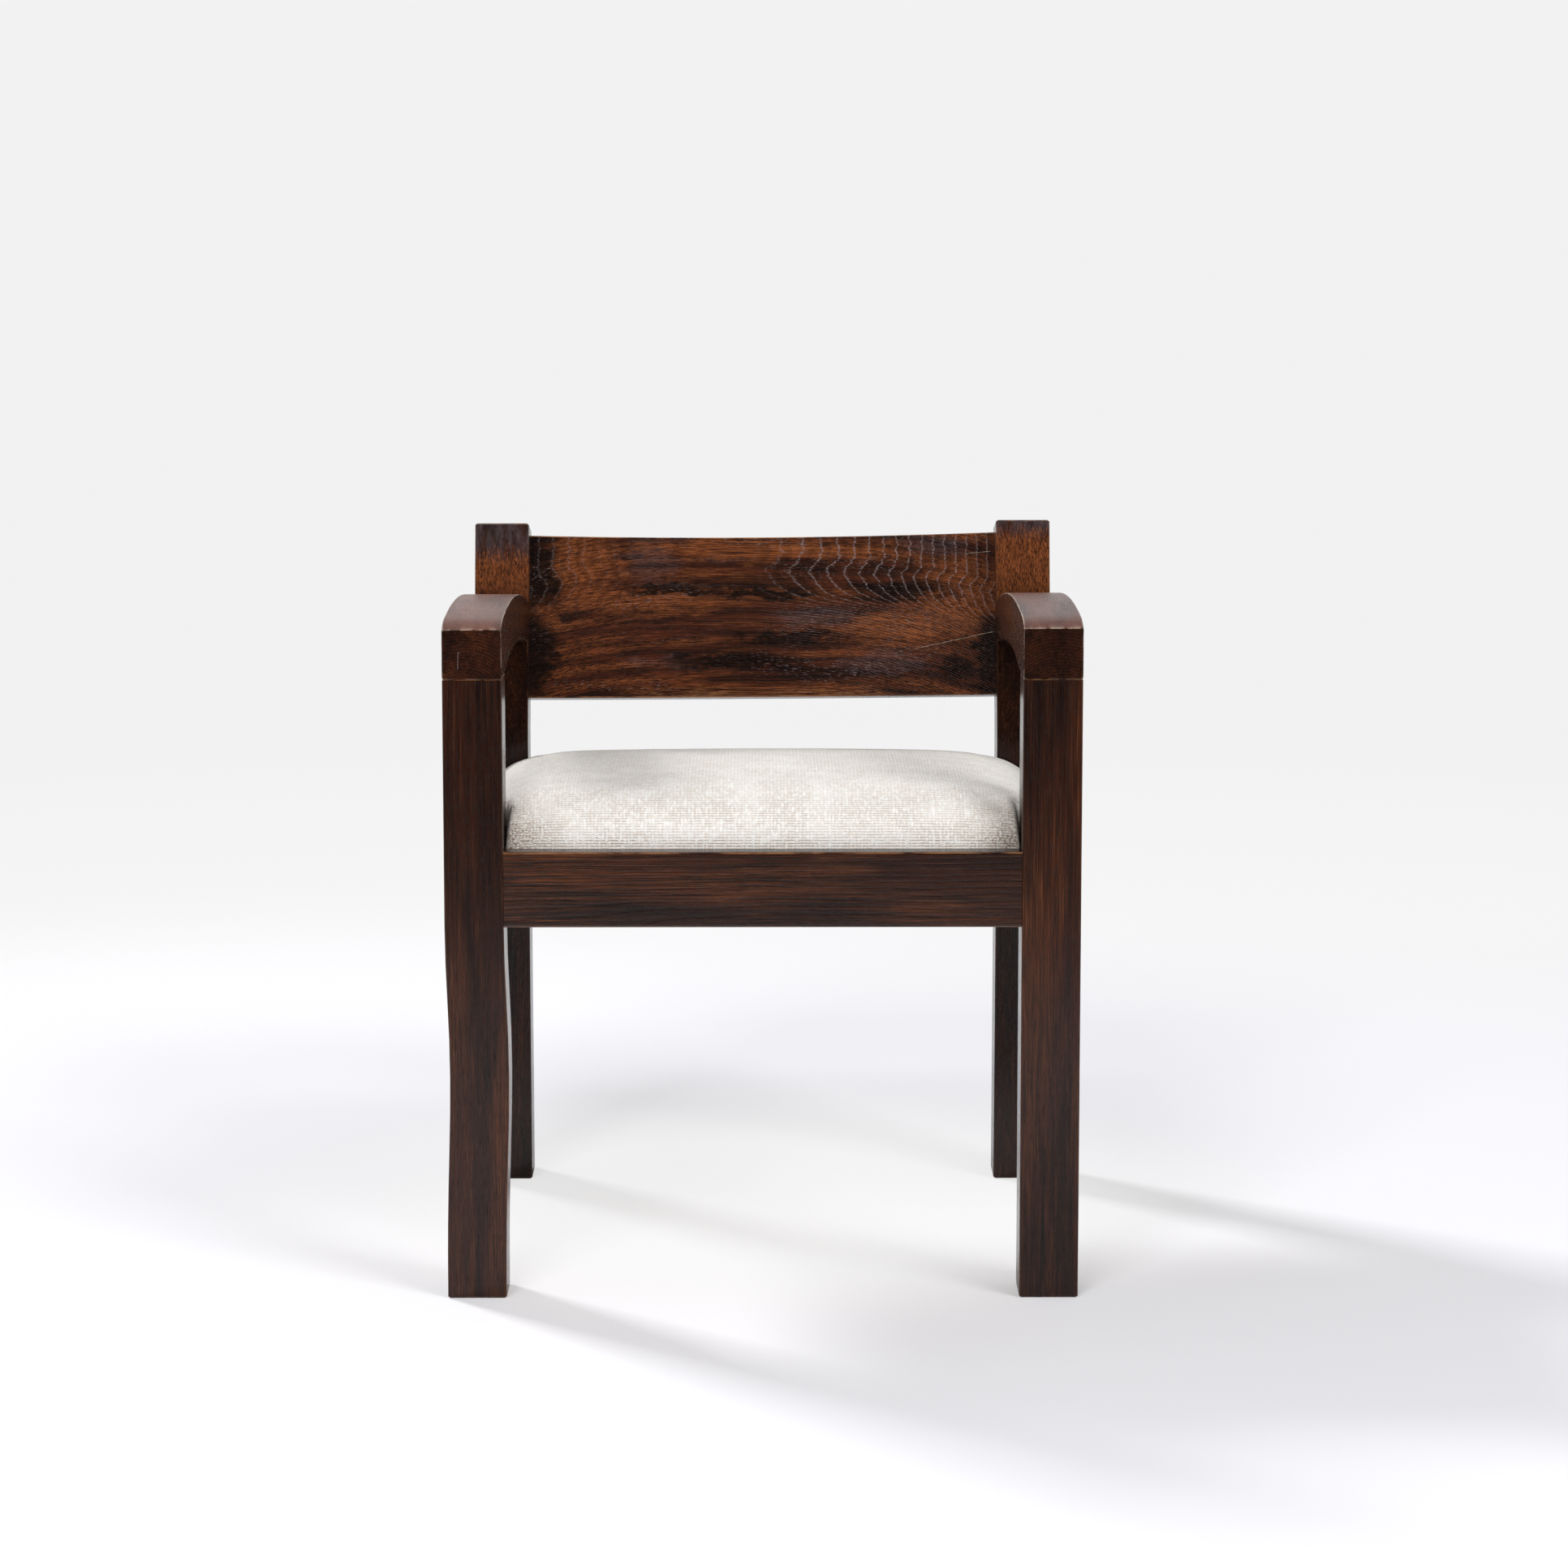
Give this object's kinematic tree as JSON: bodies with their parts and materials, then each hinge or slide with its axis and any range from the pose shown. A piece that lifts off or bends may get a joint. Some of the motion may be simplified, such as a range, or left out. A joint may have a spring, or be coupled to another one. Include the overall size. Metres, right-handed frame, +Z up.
{
  "type": "armchair",
  "caption": "Low-backed wooden armchair with square legs, bow arms, a curved backrest board and an upholstered seat that drops in between the rails.",
  "frame": {"origin": "on the floor, under the middle of the chair's outer box", "axes": "+Z up, -Y towards the front legs, +X to the right as seen from the front"},
  "size_m": [0.6, 0.608, 0.6959],
  "materials": {
    "stained_oak": "dark brown stain under a worn semi-gloss varnish",
    "frame_wood": "bare planed beech",
    "woven_cover": "ivory chunky plain weave with beige flecks",
    "jute_webbing": "coarse woven jute",
    "hessian": "open plain weave",
    "seat_stuffing": "upholstery foam",
    "screw_steel": "dull zinc"
  },
  "bodies": {
    "frame": {"front_leg_left": "stained_oak", "front_leg_right": "stained_oak", "rear_leg_left": "stained_oak", "rear_leg_right": "stained_oak", "front_rail": "stained_oak", "rear_rail": "stained_oak", "side_rail_left": "stained_oak", "side_rail_right": "stained_oak", "arm_left": "stained_oak", "arm_right": "stained_oak", "arm_dowels_left": "frame_wood", "arm_dowels_right": "frame_wood", "backrest_board": "stained_oak", "corner_block_front_left": "frame_wood", "corner_block_front_right": "frame_wood", "corner_block_rear_left": "frame_wood", "corner_block_rear_right": "frame_wood", "corner_block_screws": "screw_steel", "seat_cleat_front": "frame_wood", "seat_cleat_rear": "frame_wood", "seat_cleat_left": "frame_wood", "seat_cleat_right": "frame_wood", "seat_cleat_screws": "screw_steel"},
    "seat": {"seat_frame_front": "frame_wood", "seat_frame_rear": "frame_wood", "seat_frame_left": "frame_wood", "seat_frame_right": "frame_wood", "seat_webbing_long": "jute_webbing", "seat_webbing_cross": "jute_webbing", "seat_hessian": "hessian", "seat_foam": "seat_stuffing", "seat_cover": "woven_cover"}
  },
  "joints": [
    {"name": "seat_lift", "type": "slide", "parent": "frame", "child": "seat", "axis": [0, 0, 1], "range_m": [0, 0.09]}
  ]
}
